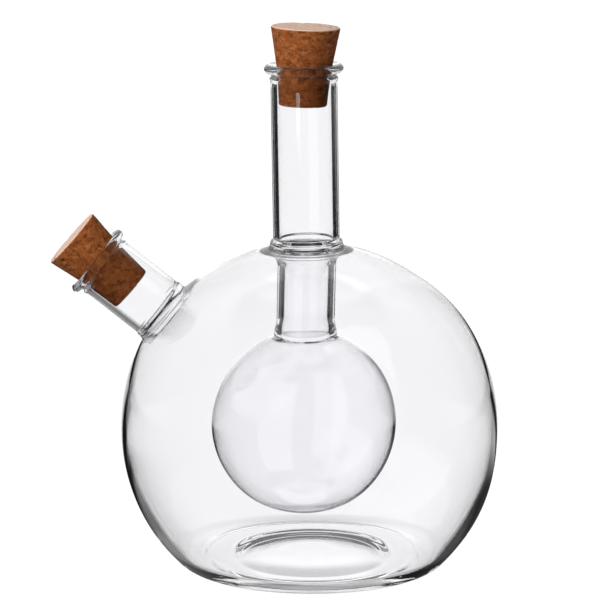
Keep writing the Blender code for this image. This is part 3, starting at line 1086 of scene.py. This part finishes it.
class CRUET_OT_stage(bpy.types.Operator):
    """Set up the floor, the white studio, its lamps and the camera"""

    bl_idname = "cruet.stage"
    bl_label = "Stage"

    def execute(self, context):
        studio = context.scene.cruet_studio
        context.scene.view_settings.view_transform = "Standard"
        context.scene.cycles.max_bounces = 32
        context.scene.cycles.transmission_bounces = 32
        context.scene.cycles.glossy_bounces = 16
        make_floor(studio)
        light_world(context.scene, studio)
        hang_lamps(studio)
        set_camera(context.scene, studio)
        return {"FINISHED"}


def studio_angles(graph, direction):
    """Azimuth and elevation of a direction: azimuth 0 is behind the bottle, 90 to its right."""
    parts = graph.node("ShaderNodeSeparateXYZ", None, {"Vector": direction})
    azimuth = graph.maths("ARCTAN2", parts["X"], parts["Y"]) * math.degrees(1.0)
    elevation = parts["Z"].maths("ARCSINE") * math.degrees(1.0)
    return azimuth, elevation


def between(value, low, high, soft):
    """1 between two edges and 0 outside them, with soft steps."""
    return value.rise(low - soft, low + soft) * (1.0 - value.rise(high - soft, high + soft))


# What the glass mirrors, by azimuth and elevation in degrees: 0 is behind the bottle, 90 to
# its right. All walls see an "all" light, only the outside of the near wall sees a "first"
# light, and only the walls beyond the near one see a "deep" light.
MIRRORED_LIGHTS = (
    # seen by, azimuth from and to, elevation from and to, softness in degrees, strength
    ("all", -8.0, 8.0, -13.0, -3.0, 1.2, 1.0),
    ("all", -45.0, -3.0, -62.0, -20.0, 2.0, 0.22),
    ("all", 10.0, 45.0, -62.0, -15.0, 4.0, 0.05),
    ("all", -3.0, 10.5, -62.0, -22.0, 2.0, 0.35),
    ("all", -180.0, 180.0, -100.0, -68.0, 4.0, 0.8),
    ("first", -165.0, -151.0, -8.3, -5.5, 0.5, 5.0),
    ("deep", -121.0, -66.0, 8.5, 80.0, 1.5, 0.65),
    ("deep", -165.0, -121.0, -50.0, 60.0, 1.5, 0.9),
    ("deep", -152.0, -132.0, 20.0, 45.0, 1.5, 0.4),
)
# The mirrored backdrop's soft edges, each from its start to its end in degrees. Its right edge
# is given at the elevation round which it leans.
BACKDROP_LEFT, BACKDROP_RIGHT = (-28.0, -22.0), (9.5, 13.5)
BACKDROP_FOOT, BACKDROP_TOP = (-4.0, -1.0), (54.0, 62.0)
LEANS_ROUND = -5.0
# Either side of it, the studio's light fades outwards and ends above. Dark gaps cut its foot
# on the outside of the glass and inside a wall.
SIDE_FADE, SIDE_TOP = (35.0, 115.0), (48.0, 60.0)
LEFT_TO_RIGHT = (-10.0, 10.0)
LEFT_GAP, RIGHT_GAP, GAP_TOP = (-35.0, -8.0), (8.0, 26.0), (-4.5, -1.5)
# Elevation of that light's foot, and what is added to it where the gaps show, again inside a
# wall, and once more inside a wall beyond the near one.
SIDE_FOOT, FOOT_GAPS, FOOT_WALLED, FOOT_DEEP = -14.0, 5.0, 3.0, 18.0
FOOT_SOFT, GAP_SOFT = 2.5, 1.5


def mirrored_light(graph, direction, depth, studio):
    """What the glass mirrors: a wide backdrop that fades to the sides, softboxes to the left,
    and dark in between. The depth counts the surfaces that light has passed through."""
    azimuth, elevation = studio_angles(graph, direction)
    first = 1.0 - depth.above(1.0)
    deep = depth.above(3.0)
    walled = depth.maths("MODULO", 4.0).above(1.0)
    gapped = walled.maths("MAXIMUM", first)
    right_edge = azimuth - (elevation - LEANS_ROUND) * studio.backdrop_lean
    backdrop = (1.0 - right_edge.rise(*BACKDROP_RIGHT)) * azimuth.rise(*BACKDROP_LEFT)
    backdrop = backdrop * elevation.rise(*BACKDROP_FOOT) * (1.0 - elevation.rise(*BACKDROP_TOP))
    right = azimuth.rise(*LEFT_TO_RIGHT)
    side = studio.left_light * (1.0 - right) + studio.right_light * right
    side = side * (1.0 - azimuth.abs().rise(*SIDE_FADE)) * (1.0 - elevation.rise(*SIDE_TOP))
    foot = gapped * FOOT_GAPS + walled * (deep * FOOT_DEEP + FOOT_WALLED) + SIDE_FOOT
    side = side * (elevation - foot).rise(0.0, FOOT_SOFT)
    gaps = between(azimuth, *LEFT_GAP, GAP_SOFT) + between(azimuth, *RIGHT_GAP, GAP_SOFT)
    gaps = gapped * gaps * (1.0 - elevation.rise(*GAP_TOP))
    light = side * (1.0 - backdrop) * (1.0 - gaps) + studio.dark
    light = light + backdrop * ((1.0 - deep) * studio.backdrop_near + 1.0)
    seen = {"all": 1.0, "first": first, "deep": deep}
    for who, left, right, bottom, top, soft, strength in MIRRORED_LIGHTS:
        panel = between(azimuth, left, right, soft) * between(elevation, bottom, top, soft)
        light = panel * strength * seen[who] + light
    return light


# The table that the outside of the glass mirrors: its soft rim in metres, and by bearing in
# degrees, the start and the softness of a dark band, its end to the left, how much narrower it
# is to the right, and where the light fades.
TABLE_SOFT = 0.05
BAND_START, BAND_SOFT, BAND_END, BAND_NARROWER = 30.0, 3.0, 45.0, 6.0
TABLE_FADE = (45.0, 115.0)
TABLE_LEFT, TABLE_RIGHT = 1.15, 1.0


def table_light(graph):
    """The mirrored table's light, and the distance from the middle of the table."""
    place = graph.node("ShaderNodeTexCoord")["Object"]
    place = graph.node("ShaderNodeSeparateXYZ", None, {"Vector": place})
    away = (place["X"] * place["X"] + place["Y"] * place["Y"]).maths("SQRT")
    right = place["X"].rise(-TABLE_SOFT, TABLE_SOFT)
    off = (graph.maths("ARCTAN2", place["X"], place["Y"]) * math.degrees(1.0)).abs()
    band = between(off, BAND_START, BAND_END - right * BAND_NARROWER, BAND_SOFT)
    light = TABLE_LEFT * (1.0 - right) + TABLE_RIGHT * right
    return light * (1.0 - band) * (1.0 - off.rise(*TABLE_FADE)), away


def floor_white(studio):
    """White to the camera but for a faint shadow, and a bright table to the outside of the
    glass, with nothing beyond its rim."""
    material = new_material("floor_white")
    graph = Graph(material)
    rays = graph.node("ShaderNodeLightPath")
    matt = rays["Diffuse Depth"].above(0.5)
    mirrored = (1.0 - matt) * rays["Glossy Depth"].above(0.5)
    seen = (1.0 - matt) * (1.0 - mirrored)
    glow, away = table_light(graph)
    light = matt * studio.bounce + seen * studio.floor_glow + mirrored * glow
    surface = graph.node("ShaderNodeBsdfDiffuse", None, {"Color": (0.8, 0.8, 0.8)})
    lit = graph.node("ShaderNodeEmission", None, {"Color": (1.0, 1.0, 1.0), "Strength": light})
    share = 1.0 - seen * studio.shadow
    shader = graph.node("ShaderNodeMixShader", None, {0: share, 1: surface["BSDF"], 2: lit["Emission"]})
    clear = graph.node("ShaderNodeBsdfTransparent")
    gone = mirrored * (1.0 - between(away, studio.table_near, studio.table_far, TABLE_SOFT))
    shader = graph.node("ShaderNodeMixShader", None, {0: gone, 1: shader["Shader"], 2: clear["BSDF"]})
    graph.node("ShaderNodeOutputMaterial", None, {"Surface": shader["Shader"]})
    return material


def make_floor(studio):
    """A wide floor just under the bottle. Light that passes through glass goes past it."""
    wide, under = 6.0, 0.0002
    bpy.ops.object.select_all(action="DESELECT")
    bpy.ops.mesh.primitive_plane_add(size=wide, location=(0.0, 0.0, -under))
    floor = bpy.context.object
    floor.name = "floor"
    bpy.ops.object.transform_apply(location=True)
    floor.data.materials.append(floor_white(studio))
    floor.visible_transmission = False


def bearing_vector(azimuth, elevation):
    """A direction from the bottle: azimuth 0 is away from the camera, 90 to its right."""
    a, e = math.radians(azimuth), math.radians(elevation)
    return Vector((math.sin(a) * math.cos(e), math.cos(a) * math.cos(e), math.sin(e)))


# Azimuth and elevation that most of the soft light comes from, in front and behind.
KEY_FROM, RIM_FROM = (-143.0, 35.0), (5.0, 35.0)


def light_from(graph, direction, source):
    """Soft light that falls off round the direction it comes from."""
    falloff = 4.0
    return graph.dot(direction, bearing_vector(*source)).maths("MAXIMUM", 0.0) ** falloff


# The sweep seen through the glass is dark below, between its edge and a soft end further
# down, and darker above. The shares say how much the dark takes away: from light that has
# passed three walls, as at the bulb's rim, from all other light, and above.
EDGE_SOFT, DARK_END, DARK_ABOVE = (-6.0, 2.0), (-50.0, -42.0), (48.0, 66.0)
DARK_RIM, DARK_OTHER, DARK_TOP = 0.97, 0.5, 0.7


def through_light(graph, direction, depth, studio):
    """What shows through the glass: a white sweep that ends in the dark below. The depth
    counts the surfaces that light has passed through."""
    elevation = studio_angles(graph, direction)[1]
    edge = math.degrees(studio.horizon)
    below = 1.0 - elevation.rise(edge + EDGE_SOFT[0], edge + EDGE_SOFT[1])
    below = below * elevation.rise(*DARK_END)
    rim = depth.above(5.5) * (1.0 - depth.above(7.5))
    gain = (depth - 4.0).maths("MAXIMUM", 0.0) * studio.regain + 1.0
    sweep = gain * studio.glow * (1.0 - below * (rim * DARK_RIM + (1.0 - rim) * DARK_OTHER))
    return sweep * (1.0 - elevation.rise(*DARK_ABOVE) * DARK_TOP)


def light_world(scene, studio):
    """White to the camera, a white sweep through the glass, and a dark studio with softboxes
    to what the glass reflects. Matt surfaces get soft light from the front left and behind."""
    world = bpy.data.worlds.new("white_studio")
    scene.world = world
    world.cycles.sampling_method = "NONE"
    graph = Graph(world)
    direction = graph.node("ShaderNodeTexCoord")["Generated"]
    rays = graph.node("ShaderNodeLightPath")
    depth = rays["Transmission Depth"]
    key = light_from(graph, direction, KEY_FROM)
    rim = light_from(graph, direction, RIM_FROM)
    soft = key * studio.key + rim * studio.rim + studio.dome
    matt = rays["Diffuse Depth"].above(0.5)
    glossy = rays["Glossy Depth"].above(0.5)
    camera = rays["Is Camera Ray"]
    mirrored = mirrored_light(graph, direction, depth, studio)
    through = (1.0 - camera) * through_light(graph, direction, depth, studio) + camera
    strength = matt * soft + (1.0 - matt) * (glossy * mirrored + (1.0 - glossy) * through)
    values = {"Color": (1.0, 1.0, 1.0), "Strength": strength}
    background = graph.node("ShaderNodeBackground", None, values)
    graph.node("ShaderNodeOutputWorld", None, {"Surface": background["Background"]})


def hang_lamps(studio):
    """Two softboxes, which the glass doesn't mirror because the studio's panels stand in."""
    away, middle = 1.3, Vector((0.0, 0.0, 0.08))
    for name, azimuth, elevation, size, power in (
        ("key_softbox", -147.0, 38.0, 0.5, 3.8),
        ("fill_softbox", -85.0, 30.0, 0.6, 1.0),
    ):
        facing = bearing_vector(azimuth, elevation)
        bpy.ops.object.light_add(type="AREA", location=facing * away + middle)
        lamp = bpy.context.object
        lamp.name = name
        lamp.data.name = name
        lamp.data.energy = power
        lamp.data.size = size
        lamp.rotation_euler = facing.to_track_quat("Z", "Y").to_euler()
        lamp.visible_camera = False
        lamp.visible_glossy = False
        lamp.visible_transmission = False
        lamp.data.use_shadow = False


def set_camera(scene, studio):
    """A long lens from the front that looks down at the bottle a little."""
    target = globe_centre() + Vector((-studio.aside, 0.0, studio.above))
    back = Vector((0.0, -math.cos(studio.pitch), math.sin(studio.pitch)))
    bpy.ops.object.camera_add(location=target + back * studio.distance)
    camera = bpy.context.object
    camera.name = "camera"
    camera.rotation_euler = back.to_track_quat("Z", "Y").to_euler()
    camera.data.lens = studio.focal
    camera.data.clip_start = 0.01
    camera.data.clip_end = 20.0
    scene.camera = camera


class CRUET_PT_panel(bpy.types.Panel):
    """Sizes of the cruet and the steps that make it"""

    bl_idname = "CRUET_PT_panel"
    bl_label = "Oil and vinegar bottle"
    bl_space_type = "VIEW_3D"
    bl_region_type = "UI"
    bl_category = "Cruet"

    def draw(self, context):
        groups = (
            (CRUET_OT_stage, context.scene.cruet_studio),
            (CRUET_OT_glass, context.scene.cruet_glass),
            (CRUET_OT_corks, context.scene.cruet_cork),
        )
        for step, group in groups:
            box = self.layout.box()
            box.operator(step.bl_idname)
            for name in group.__annotations__:
                box.prop(group, name)


CLASSES = (
    CruetGlass,
    CruetCork,
    CruetStudio,
    CRUET_OT_stage,
    CRUET_OT_glass,
    CRUET_OT_corks,
    CRUET_PT_panel,
)


def register():
    for kind in CLASSES:
        bpy.utils.register_class(kind)
    bpy.types.Scene.cruet_glass = PointerProperty(type=CruetGlass)
    bpy.types.Scene.cruet_cork = PointerProperty(type=CruetCork)
    bpy.types.Scene.cruet_studio = PointerProperty(type=CruetStudio)


def unregister():
    del bpy.types.Scene.cruet_glass
    del bpy.types.Scene.cruet_cork
    del bpy.types.Scene.cruet_studio
    for kind in reversed(CLASSES):
        bpy.utils.unregister_class(kind)


def main():
    register()
    bpy.ops.cruet.stage()
    bpy.ops.cruet.glass()
    bpy.ops.cruet.corks()


if __name__ == "__main__":
    main()
